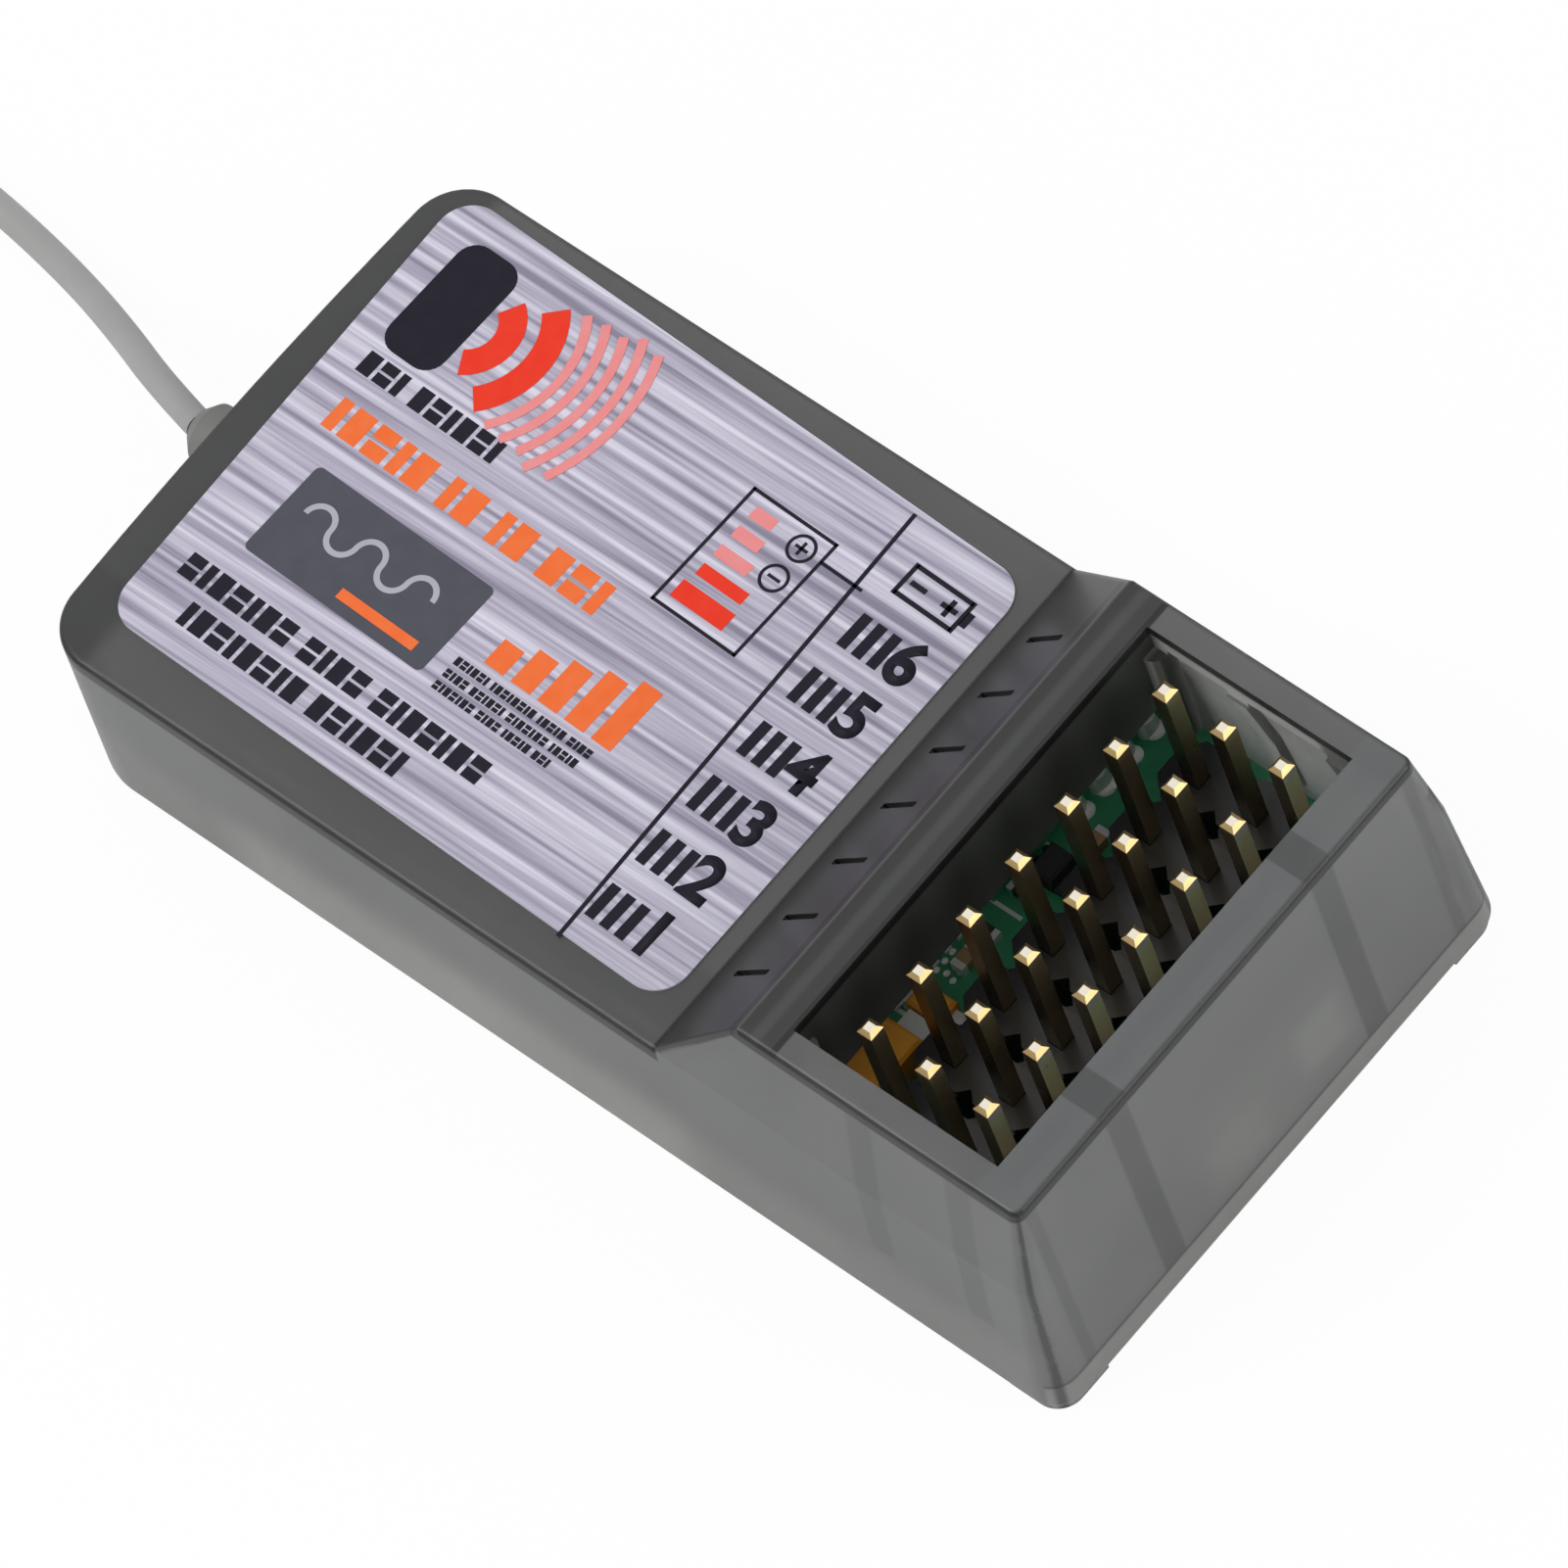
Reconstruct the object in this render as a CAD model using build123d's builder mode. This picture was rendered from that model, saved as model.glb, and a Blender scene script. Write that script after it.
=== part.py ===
from build123d import *

import os
from math import atan2, cos, pi, radians, sin, tan

os.makedirs("parts", exist_ok=True)

# A six-channel radio control receiver, in millimetres. The origin is at the bottom centre of
# the case, +X points to the pin end, -X to the aerial lead, and +Z up.

# Square pin grid, seven ports of three pins
ports = 7
pitch = 2.54
post_side = 0.64
post_tip = 0.16
post_free_length = 6.0
post_tail_length = 1.0
post_fit = 0.02
strip_height = 2.54
strip_corner = 0.65
strip_groove_width = 0.55
strip_groove_depth = 0.3

# Case shells
case_length = 45.4
foot_height = 0.22
foot_radius = 2.0
foot_inset = 0.2
foot_setback = 0.6
floor_thickness = 1.2
wall = 1.1
lower_draft = 4.9
upper_draft = 9.8
front_draft = 0.7
rear_draft = 0.3
rear_bow = 0.3
front_corner_top = 0.4
front_corner_base = 1.2
rear_corner_top = 1.55
rear_corner_base = 3.0
inner_corner = 0.3
edge_round = 0.25
bottom_round = 0.45

# Room round the pins, the ramp and the curtain wall behind the pin bay
port_side_room = 1.53
port_rear_room = 2.04
port_front_room = 1.84
front_rim = 1.74
rear_rim = 1.62
ramp_run = 4.3
component_room = 2.8
curtain_drop = 4.45

# Tick grooves on the ramp, one for each port
tick_length = 3.1
tick_width = 0.26
tick_depth = 0.22
tick_centre = 0.49

# Stiffening ribs inside the pin bay
rib_width = 0.9
rib_depth = 0.35
front_rib_width = 1.1
front_rib_spacing = 10.6
corner_column_radius = 0.6

# Locating tongue and snap hooks
tongue_thickness = 0.8
tongue_height = 0.8
tongue_fit = 0.1
hook_width = 2.4
hook_thickness = 0.6
hook_height = 3.8
hook_barb = 0.35
hook_barb_height = 0.8
hook_fit = 0.12
hook_front_setback = 1.9
hook_spacing = 17.0

# Main board and what it stands on
board_thickness = 1.16
board_post_height = 1.3
board_gap = 0.3
board_corner = 0.8
post_hole_radius = 0.5
support_radius = 0.75
support_inset = 1.6
peg_radius = 0.5
peg_fit = 0.1
peg_setback = 9.0
solder_height = 0.6
solder_radius = 0.82
solder_neck = 0.46

# Label foil, cut a little out of square: the distances of its corners from the ramp, the rear
# edge and the side edges of the label face, near side (-Y) and far side (+Y)
foil_thickness = 0.08
foil_front_margin = 0.8
foil_front_side_margin = 1.46
foil_rear_margin_near = 1.72
foil_rear_margin_far = 1.27
foil_rear_side_margin_near = 2.03
foil_rear_side_margin_far = 0.55
foil_corner = 1.3

# Radio board, with half-round solder notches in its front edge
module_length = 17.9
module_width = 8.4
module_side = 9.3
module_thickness = 0.8
module_setback = 1.95
pad_pitch = 1.27
pad_count = 4
pad_radius = 0.36
pad_margin = 0.32
pad_solder_foot = 0.49
radio_chip_size = 4.0
radio_chip_height = 0.8
radio_chip_setback = 8.0
crystal_length = 3.2
crystal_width = 2.5
crystal_height = 0.75
crystal_corner = 0.3
crystal_setback = 3.4
moulded_edge = 0.12

# Controller chip with bent leads on its four sides
chip_body = 4.2
chip_height = 1.0
chip_standoff = 0.1
chip_side_leads = 6
chip_lead_pitch = 0.65
chip_lead_width = 0.3
chip_lead_foot = 0.45
chip_lead_reach = 0.8
chip_lead_thickness = 0.15
chip_setback = 0.05
chip_side = 0.55

# Six-lead interface chip, regulator and lamp
interface_length = 1.3
interface_width = 1.0
interface_height = 0.75
interface_lead_span = 1.7
interface_lead_width = 0.22
interface_lead_thickness = 0.16
interface_lead_pitch = 0.5
interface_advance = 0.95
interface_side = 2.95
regulator_length = 4.5
regulator_width = 2.5
regulator_height = 1.5
regulator_tab_width = 1.7
regulator_reach = 0.75
regulator_lead_width = 0.45
regulator_lead_pitch = 1.5
regulator_lead_thickness = 0.4
regulator_setback = 6.0
regulator_inset = 4.2
lamp_length = 1.6
lamp_width = 0.8
lamp_base = 0.35
lamp_lens_length = 0.9
lamp_lens_height = 0.35
lamp_setback = 1.5
lamp_inset = 2.4

# Moulded capacitors with a flat terminal at each end
large_cap = (3.2, 1.6, 1.6)
small_cap = (1.5, 1.0, 1.1)
large_cap_setback = 0.6
small_cap_setback = 0.75
large_cap_side = 6.5
cap_gap = 0.1
terminal_reach = 0.5
terminal_width_share = 0.75
terminal_height_share = 0.62

# Chip resistors and capacitors between two tinned ends
chip_part_length = 1.0
chip_part_width = 0.55
chip_part_end = 0.25
resistor_height = 0.35
chip_cap_height = 0.5
resistor_gap = 0.3

# Aerial lead, its boot and its solder joint
lead_radius = 0.55
lead_side = -0.7
lead_height = 4.57
boot_length = 2.25
boot_radius = 1.35
boot_nose_length = 0.5
boot_nose_radius = 1.15
boot_tip_radius = 0.68
boot_neck_radius = 1.15
boot_flange_radius = 1.75
boot_flange_thickness = 0.5
boot_flange_round = 0.2
boot_bore_fit = 0.04
boot_hole_fit = 0.05
tail_gap = 0.15
tail_lift = 0.02
tail_hump = 0.15
tail_entry = 2.5
tail_rise_start = 5.2
tail_landing = 1.1
tail_run = 2.4
tail_rise_side = 0.7
tail_landing_side = 2.0
tail_end_side = 2.9
core_radius = 0.2
core_length = 1.3
core_solder_radius = 0.9
core_solder_cover = 0.15
core_solder_taper = 25
arc_share = 0.45

# Levels and places that follow from the sizes above
floor_top = foot_height + floor_thickness
board_bottom = floor_top + board_post_height
board_top = board_bottom + board_thickness
rim_top = board_top + strip_height + post_free_length
label_top = board_top + component_room + wall
ramp_angle = atan2(rim_top - label_top, ramp_run)

opening_half = (ports - 1) / 2 * pitch + port_side_room
rim_half = opening_half + wall
label_half = rim_half + (rim_top - label_top) * tan(radians(upper_draft))


def half_width(level):
    """Half width of the outside of the case at one level."""
    if level >= label_top:
        return rim_half + (rim_top - level) * tan(radians(upper_draft))
    return label_half + (label_top - level) * tan(radians(lower_draft))


def front_x(level):
    """Outside of the wall at the pin end, at one level."""
    return case_length / 2 - (level - foot_height) * tan(radians(front_draft))


def rear_x(level):
    """Outside of the bowed rear wall at its middle, at one level."""
    return -case_length / 2 + (level - foot_height) * tan(radians(rear_draft))


opening_front = front_x(rim_top) - front_rim
row_x = [opening_front - port_front_room - (2 - row) * pitch for row in range(3)]
port_y = [(port - (ports - 1) / 2) * pitch for port in range(ports)]
post_places = [(x, y) for x in row_x for y in port_y]
opening_rear = row_x[0] - port_rear_room
ramp_top = opening_rear - rear_rim
ramp_foot = ramp_top - ramp_run
ramp_middle = ramp_foot + ramp_run * tick_centre

board_front = front_x(board_top) - wall - board_gap
board_rear = rear_x(board_top) + rear_bow + wall + boot_flange_thickness + board_gap
board_half = half_width(board_top) - wall - board_gap

hook_top = floor_top + hook_height
hook_face = half_width(hook_top) - wall - hook_fit
hook_x = [ramp_foot - hook_front_setback, ramp_foot - hook_front_setback - hook_spacing]
hook_places = [(x, side) for x in hook_x for side in (-1, 1)]


def corner_radius(level, base, top):
    """Radius of an upright corner at one level, between its values at the base and at the rim."""
    return base + (top - base) * (level - foot_height) / (rim_top - foot_height)


def outline(level, inset=0.0):
    """Plan of the case at one level: bowed rear, rounded corners, moved inwards by inset."""
    front_corner = corner_radius(level, front_corner_base, front_corner_top)
    rear_corner = corner_radius(level, rear_corner_base, rear_corner_top)
    half = half_width(level) - inset
    front = front_x(level) - inset
    rear = rear_x(level) + inset
    with BuildSketch(Plane.XY.offset(level)) as plan:
        with BuildLine():
            Polyline((rear + rear_bow, half), (front, half), (front, -half), (rear + rear_bow, -half))
            ThreePointArc((rear + rear_bow, -half), (rear, 0), (rear + rear_bow, half))
        make_face()
        fillet(plan.vertices().group_by(Axis.X)[-1], max(front_corner - inset, inner_corner))
        fillet(plan.vertices().group_by(Axis.X)[0], max(rear_corner - inset, inner_corner))
    return plan.sketch


def case_body(levels, inset=0.0):
    """Drafted body through the plans at the given levels."""
    with BuildPart() as body:
        loft(sections=[outline(level, inset) for level in levels], ruled=True)
    return body.part


def side_body(skin=0.0):
    """Side view with label face, ramp and rim, moved inwards by skin, wider than the case."""
    shift = skin * tan(ramp_angle / 2)
    with BuildPart() as body:
        with BuildSketch(Plane.XZ):
            with BuildLine():
                Polyline(
                    (-case_length, 0),
                    (case_length, 0),
                    (case_length, rim_top - skin),
                    (ramp_top + shift, rim_top - skin),
                    (ramp_foot + shift, label_top - skin),
                    (-case_length, label_top - skin),
                    close=True,
                )
            make_face()
        extrude(amount=case_length, both=True)
    return body.part


def turned_plane(x, y, level, turn):
    """Plane flat on one level, with its own X axis turned about Z by turn degrees."""
    return Plane(origin=(x, y, level), x_dir=(cos(radians(turn)), sin(radians(turn)), 0), z_dir=(0, 0, 1))


def save(part, name):
    """Label one finished piece and write it under its own name."""
    part.label = name
    export_step(part, f"parts/{name}.step")


# Upper case: a drafted shell with the label face, the ramp and the rim round the pins.
# The curtain wall behind the pin bay and the ribs are moulded on its inside.
shell_levels = [floor_top, label_top, rim_top]
shell_middle = case_body(shell_levels, wall / 2)
with BuildPart() as hollow:
    add(case_body(shell_levels, wall))
    add(side_body(wall), mode=Mode.INTERSECT)

curtain_rear = ramp_top + wall * tan(ramp_angle / 2)
curtain_thickness = opening_rear - curtain_rear
with BuildPart() as curtain:
    with Locations(((opening_rear + curtain_rear) / 2, 0, rim_top - curtain_drop)):
        Box(
            curtain_thickness,
            2 * label_half,
            curtain_drop - wall / 2,
            align=(Align.CENTER, Align.CENTER, Align.MIN),
        )
    add(shell_middle, mode=Mode.INTERSECT)

side_rib_bottom = board_top + board_gap
with BuildPart() as side_ribs:
    for x in (row_x[1] - rib_width, row_x[2] + rib_width):
        with Locations((x, 0, side_rib_bottom)):
            Box(
                rib_width,
                2 * label_half,
                rim_top - wall / 2 - side_rib_bottom,
                align=(Align.CENTER, Align.CENTER, Align.MIN),
            )
    add(shell_middle, mode=Mode.INTERSECT)
    add(case_body(shell_levels, wall + rib_depth), mode=Mode.SUBTRACT)

corner_column_bottom = board_top + large_cap[2] + board_gap
with BuildPart() as corner_columns:
    with BuildSketch(Plane.XY.offset(corner_column_bottom)):
        with Locations((opening_rear, -opening_half), (opening_rear, opening_half)):
            Circle(corner_column_radius)
    extrude(amount=rim_top - wall / 2 - corner_column_bottom)
    add(shell_middle, mode=Mode.INTERSECT)

front_rib_bottom = floor_top + tongue_height + board_gap
front_rib_reach = front_x(rim_top) - wall / 2 - opening_front
front_rib_places = [(opening_front + front_rib_reach / 2, side * front_rib_spacing / 2) for side in (-1, 1)]
ramp_plane = Plane(
    origin=(ramp_middle, 0, label_top + (ramp_middle - ramp_foot) * tan(ramp_angle)),
    x_dir=(cos(ramp_angle), 0, sin(ramp_angle)),
    z_dir=(-sin(ramp_angle), 0, cos(ramp_angle)),
)


def is_crease(edge):
    """True for the two edges across the case at the foot and the top of the ramp."""
    return min(abs(edge.center().X - ramp_foot), abs(edge.center().X - ramp_top)) < edge_round / 10


with BuildPart() as upper_case:
    add(case_body(shell_levels))
    add(side_body(), mode=Mode.INTERSECT)
    upward = upper_case.faces().filter_by(lambda face: face.normal_at().Z > 0.5)
    fillet(upward.edges().filter_by(lambda edge: not is_crease(edge)), edge_round)
    add(hollow.part, mode=Mode.SUBTRACT)
    add(curtain.part)
    add(side_ribs.part)
    add(corner_columns.part)
    with BuildSketch(Plane.XY.offset(front_rib_bottom)):
        with Locations(front_rib_places):
            Rectangle(front_rib_reach, front_rib_width)
    extrude(amount=rim_top - wall / 2 - front_rib_bottom)
    with BuildSketch(Plane.XY.offset(rim_top)):
        with Locations(((opening_rear + opening_front) / 2, 0)):
            Rectangle(opening_front - opening_rear, 2 * opening_half)
    extrude(amount=-wall - edge_round, mode=Mode.SUBTRACT)
    with BuildSketch(ramp_plane):
        with GridLocations(1, pitch, 1, ports):
            SlotOverall(tick_length, tick_width)
    extrude(amount=-tick_depth, mode=Mode.SUBTRACT)
    with BuildSketch(Plane.YZ.offset(-case_length / 2 - wall)):
        with Locations((lead_side, lead_height)):
            Circle(boot_neck_radius + boot_hole_fit)
    extrude(amount=3 * wall, mode=Mode.SUBTRACT)
    with Locations([(x, side * hook_face, hook_top - hook_barb_height / 2) for x, side in hook_places]):
        Box(
            hook_width + 2 * hook_fit,
            2 * (hook_barb + 2 * hook_fit),
            hook_barb_height + 2 * hook_fit,
            mode=Mode.SUBTRACT,
        )
save(upper_case.part, "upper_case")

# Lower case: a floor with a rounded lower edge, corner feet, a tongue that locates the upper
# case, supports and pegs for the board, and four hooks that snap into the upper case.
tongue_levels = [floor_top, floor_top + tongue_height]
with BuildPart() as tongue:
    add(case_body(tongue_levels, wall + tongue_fit))
    add(case_body(tongue_levels, wall + tongue_fit + tongue_thickness), mode=Mode.SUBTRACT)

rear_support_x = board_rear + 1.5 * support_inset
front_support_x = board_front - support_radius - peg_fit
front_support_y = board_half - support_radius - peg_fit
support_places = [(rear_support_x, side * (board_half - support_inset)) for side in (-1, 1)]
support_places += [(front_support_x, side * front_support_y) for side in (-1, 1)]
peg_places = [(ramp_foot - peg_setback, side * (board_half - support_inset)) for side in (-1, 1)]

with BuildPart() as lower_case:
    add(case_body([foot_height, floor_top]))
    fillet(lower_case.faces().sort_by(Axis.Z)[0].edges(), bottom_round)
    with BuildSketch(Plane.XY):
        foot_spacing = 2 * (front_x(foot_height) - foot_setback)
        foot_track = 2 * (half_width(foot_height) - foot_setback)
        with GridLocations(foot_spacing, foot_track, 2, 2):
            Circle(foot_radius)
        add(outline(foot_height, foot_inset).moved(Location((0, 0, -foot_height))), mode=Mode.INTERSECT)
    extrude(amount=foot_height + floor_thickness / 2)
    add(tongue.part)
    with BuildSketch(Plane.XY.offset(floor_top)):
        with Locations(support_places + peg_places):
            Circle(support_radius)
    extrude(amount=board_post_height)
    with BuildSketch(Plane.XY.offset(board_bottom)):
        with Locations(peg_places):
            Circle(peg_radius)
    extrude(amount=board_thickness)
    for x, side in hook_places:
        with BuildSketch(Plane.YZ.offset(x - hook_width / 2)):
            with BuildLine():
                Polyline(
                    (side * (hook_face - hook_thickness), floor_top - floor_thickness / 4),
                    (side * (hook_face - hook_thickness), hook_top),
                    (side * hook_face, hook_top),
                    (side * (hook_face + hook_barb), hook_top - hook_barb_height / 2),
                    (side * hook_face, hook_top - hook_barb_height),
                    (side * hook_face, floor_top - floor_thickness / 4),
                    close=True,
                )
            make_face()
        extrude(amount=hook_width)
save(lower_case.part, "lower_case")

# Label: silver foil with rounded corners on the flat top
foil_front = ramp_foot - foil_front_margin
foil_front_half = label_half - foil_front_side_margin
foil_rear_near = (rear_x(label_top) + foil_rear_margin_near, -label_half + foil_rear_side_margin_near)
foil_rear_far = (rear_x(label_top) + foil_rear_margin_far, label_half - foil_rear_side_margin_far)
with BuildPart() as label_foil:
    with BuildSketch(Plane.XY.offset(label_top)) as foil_plan:
        with BuildLine():
            Polyline(
                foil_rear_near,
                (foil_front, -foil_front_half),
                (foil_front, foil_front_half),
                foil_rear_far,
                close=True,
            )
        make_face()
        fillet(foil_plan.vertices(), foil_corner)
    extrude(amount=foil_thickness)
save(label_foil.part, "label_foil")

# Main board: glass fibre laminate, notched for the hooks and the front ribs, with a hole for
# each pin and for the two pegs
with BuildPart() as main_board:
    with BuildSketch(Plane.XY.offset(board_bottom)):
        with Locations(((board_front + board_rear) / 2, 0)):
            RectangleRounded(board_front - board_rear, 2 * board_half, board_corner)
        with Locations([(x, side * board_half) for x, side in hook_places]):
            hook_notch = board_half - hook_face + hook_thickness + hook_fit
            Rectangle(hook_width + 4 * hook_fit, 2 * hook_notch, mode=Mode.SUBTRACT)
        with Locations([(board_front, y) for x, y in front_rib_places]):
            rib_notch = board_front - opening_front + board_gap / 2
            Rectangle(2 * rib_notch, front_rib_width + board_gap, mode=Mode.SUBTRACT)
        with Locations(post_places):
            Circle(post_hole_radius, mode=Mode.SUBTRACT)
        with Locations(peg_places):
            Circle(peg_radius + peg_fit, mode=Mode.SUBTRACT)
    extrude(amount=board_thickness)
save(main_board.part, "main_board")

# Pin headers: a black strip of eight-sided cells for each row, and one gilt post for each port
row_names = ["signal", "power", "ground"]
post_bottom = board_bottom - post_tail_length
for row, x in enumerate(row_x):
    with BuildPart() as strip:
        with BuildSketch(Plane.XY.offset(board_top)):
            with Locations((x, 0)):
                Rectangle(pitch, ports * pitch)
            with Locations((x - pitch / 2, 0), (x + pitch / 2, 0)):
                with GridLocations(1, pitch, 1, ports + 1):
                    RegularPolygon(strip_corner, 4, mode=Mode.SUBTRACT)
            with Locations([(x, y) for y in port_y]):
                Rectangle(post_side + 2 * post_fit, post_side + 2 * post_fit, mode=Mode.SUBTRACT)
        extrude(amount=strip_height)
        with BuildSketch(Plane.XY.offset(board_top + strip_height)):
            with Locations((x, 0)):
                with GridLocations(1, pitch, 1, ports - 1):
                    Rectangle(pitch, strip_groove_width)
        extrude(amount=-strip_groove_depth, mode=Mode.SUBTRACT)
    save(strip.part, f"header_strip_{row_names[row]}")
    for port, y in enumerate(port_y):
        with BuildPart() as post:
            with BuildSketch(Plane.XY.offset(post_bottom)):
                with Locations((x, y)):
                    Rectangle(post_side, post_side)
            extrude(amount=rim_top - post_bottom)
            chamfer(post.faces().filter_by(Axis.Z).edges(), post_tip)
        port_name = "battery" if port == ports - 1 else str(port + 1)
        save(post.part, f"{row_names[row]}_pin_{port_name}")

# Solder cones round the pin tails on the underside of the board
with BuildPart() as header_solder:
    with Locations([(x, y, board_bottom) for x, y in post_places]):
        Cone(solder_neck, solder_radius, solder_height, align=(Align.CENTER, Align.CENTER, Align.MAX))
        Box(
            post_side,
            post_side,
            solder_height,
            align=(Align.CENTER, Align.CENTER, Align.MAX),
            mode=Mode.SUBTRACT,
        )
save(header_solder.part, "header_solder")

# Radio board: a small module soldered flat on the main board by its notched front edge
module_front = opening_rear - module_setback
module_rear = module_front - module_length
module_middle = module_side - module_width / 2
module_top = board_top + module_thickness
pad_places = [(module_front, module_side - pad_margin - pad_pitch * number) for number in range(pad_count)]
with BuildPart() as radio_board:
    with BuildSketch(Plane.XY.offset(board_top)):
        with Locations((module_front - module_length / 2, module_middle)):
            Rectangle(module_length, module_width)
        with Locations(pad_places):
            Circle(pad_radius, mode=Mode.SUBTRACT)
    extrude(amount=module_thickness)
save(radio_board.part, "radio_board")

# Solder that fills each notch and runs out on the main board
with BuildPart() as module_solder:
    with Locations([(x, y, board_top) for x, y in pad_places]):
        Cone(pad_solder_foot, pad_radius, module_thickness, align=(Align.CENTER, Align.CENTER, Align.MIN))
    add(radio_board.part, mode=Mode.SUBTRACT)
save(module_solder.part, "module_solder")

# Radio chip and crystal can on the radio board
with BuildPart() as radio_chip:
    with BuildSketch(Plane.XY.offset(module_top)):
        with Locations((module_front - radio_chip_setback, module_middle)):
            Rectangle(radio_chip_size, radio_chip_size)
    extrude(amount=radio_chip_height)
    chamfer(radio_chip.faces().sort_by(Axis.Z)[-1].edges(), moulded_edge)
save(radio_chip.part, "radio_chip")

with BuildPart() as crystal:
    with BuildSketch(Plane.XY.offset(module_top)):
        with Locations((module_front - crystal_setback, module_middle)):
            RectangleRounded(crystal_width, crystal_length, crystal_corner)
    extrude(amount=crystal_height)
    fillet(crystal.faces().sort_by(Axis.Z)[-1].edges(), moulded_edge)
save(crystal.part, "crystal")

# Controller chip: a moulded body, and a row of bent leads on each of its four sides
chip_x = module_front - chip_setback - chip_lead_reach - chip_body / 2
chip_y = chip_side - chip_lead_reach - chip_body / 2
lead_top = chip_standoff + chip_height / 2
lead_shoulder = chip_body / 2 + chip_lead_reach - chip_lead_foot
with BuildPart() as controller_chip:
    with BuildSketch(Plane.XY.offset(board_top + chip_standoff)):
        with Locations((chip_x, chip_y)):
            Rectangle(chip_body, chip_body)
    extrude(amount=chip_height)
    chamfer(controller_chip.faces().sort_by(Axis.Z)[-1].edges(), moulded_edge)
save(controller_chip.part, "controller_chip")

with BuildPart() as chip_leads:
    for quarter in range(4):
        angle = pi / 2 * quarter
        side_plane = Plane(
            origin=(chip_x, chip_y, board_top),
            x_dir=(cos(angle), sin(angle), 0),
            z_dir=(sin(angle), -cos(angle), 0),
        )
        for lead in range(chip_side_leads):
            along = (lead - (chip_side_leads - 1) / 2) * chip_lead_pitch
            with BuildSketch(side_plane.offset(along - chip_lead_width / 2)):
                with BuildLine():
                    Polyline(
                        (chip_body / 2, lead_top),
                        (lead_shoulder, lead_top),
                        (lead_shoulder, chip_lead_thickness),
                        (lead_shoulder + chip_lead_foot, chip_lead_thickness),
                        (lead_shoulder + chip_lead_foot, 0),
                        (lead_shoulder - chip_lead_thickness, 0),
                        (lead_shoulder - chip_lead_thickness, lead_top - chip_lead_thickness),
                        (chip_body / 2, lead_top - chip_lead_thickness),
                        close=True,
                    )
                make_face()
            extrude(amount=chip_lead_width)
save(chip_leads.part, "chip_leads")

# Interface chip: a small six-lead package at the edge of the pin bay
with BuildPart() as interface_chip:
    with BuildSketch(Plane.XY.offset(board_top)):
        with Locations((module_front + interface_advance, interface_side)):
            Rectangle(interface_width, interface_length)
    extrude(amount=interface_height)
    chamfer(interface_chip.faces().sort_by(Axis.Z)[-1].edges(), moulded_edge)
    with BuildSketch(Plane.XY.offset(board_top)):
        with Locations((module_front + interface_advance, interface_side)):
            with GridLocations(1, interface_lead_pitch, 1, 3):
                Rectangle(interface_lead_span, interface_lead_width)
    extrude(amount=interface_lead_thickness)
save(interface_chip.part, "interface_chip")

# Voltage regulator: a flat package with a tab on one side and three leads on the other
regulator_x = ramp_foot - regulator_setback
regulator_y = -board_half + regulator_inset
regulator_span = regulator_width / 2 + regulator_reach
with BuildPart() as voltage_regulator:
    with BuildSketch(Plane.XY.offset(board_top)):
        with Locations((regulator_x, regulator_y)):
            Rectangle(regulator_length, regulator_width)
    extrude(amount=regulator_height)
    chamfer(voltage_regulator.faces().sort_by(Axis.Z)[-1].edges(), moulded_edge)
    with BuildSketch(Plane.XY.offset(board_top)):
        with Locations((regulator_x, regulator_y - regulator_span / 2)):
            Rectangle(regulator_tab_width, regulator_span)
        with Locations((regulator_x, regulator_y + regulator_span / 2)):
            with GridLocations(regulator_lead_pitch, 1, 3, 1):
                Rectangle(regulator_lead_width, regulator_span)
    extrude(amount=regulator_lead_thickness)
save(voltage_regulator.part, "voltage_regulator")

# Status light: a clear chip lamp that shines through the case
with BuildPart() as status_led:
    with BuildSketch(Plane.XY.offset(board_top)):
        with Locations((ramp_foot - lamp_setback, -board_half + lamp_inset)):
            Rectangle(lamp_width, lamp_length)
    extrude(amount=lamp_base)
    with BuildSketch(Plane.XY.offset(board_top + lamp_base)):
        with Locations((ramp_foot - lamp_setback, -board_half + lamp_inset)):
            Rectangle(lamp_width, lamp_lens_length)
    extrude(amount=lamp_lens_height, taper=8)
save(status_led.part, "status_led")

# Two moulded tantalum capacitors in the rear of the pin bay, and their terminals
large_cap_end = -large_cap_side + large_cap[0] / 2 + terminal_reach * large_cap[1]
small_cap_y = large_cap_end + cap_gap + small_cap[1] / 2
cap_places = [
    (turned_plane(opening_rear - large_cap_setback, -large_cap_side, board_top, 90), large_cap),
    (turned_plane(opening_rear - small_cap_setback, small_cap_y, board_top, 0), small_cap),
]
for number, (plane, (length, width, height)) in enumerate(cap_places):
    with BuildPart() as capacitor:
        with BuildSketch(plane):
            Rectangle(length, width)
        extrude(amount=height)
        chamfer(capacitor.faces().sort_by(Axis.Z)[-1].edges(), moulded_edge)
    save(capacitor.part, f"tantalum_capacitor_{number + 1}")
with BuildPart() as capacitor_terminals:
    for plane, (length, width, height) in cap_places:
        terminal = terminal_reach * width
        with BuildSketch(plane):
            with GridLocations(length + terminal, 1, 2, 1):
                Rectangle(terminal, terminal_width_share * width)
        extrude(amount=terminal_height_share * height)
save(capacitor_terminals.part, "capacitor_terminals")

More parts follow.
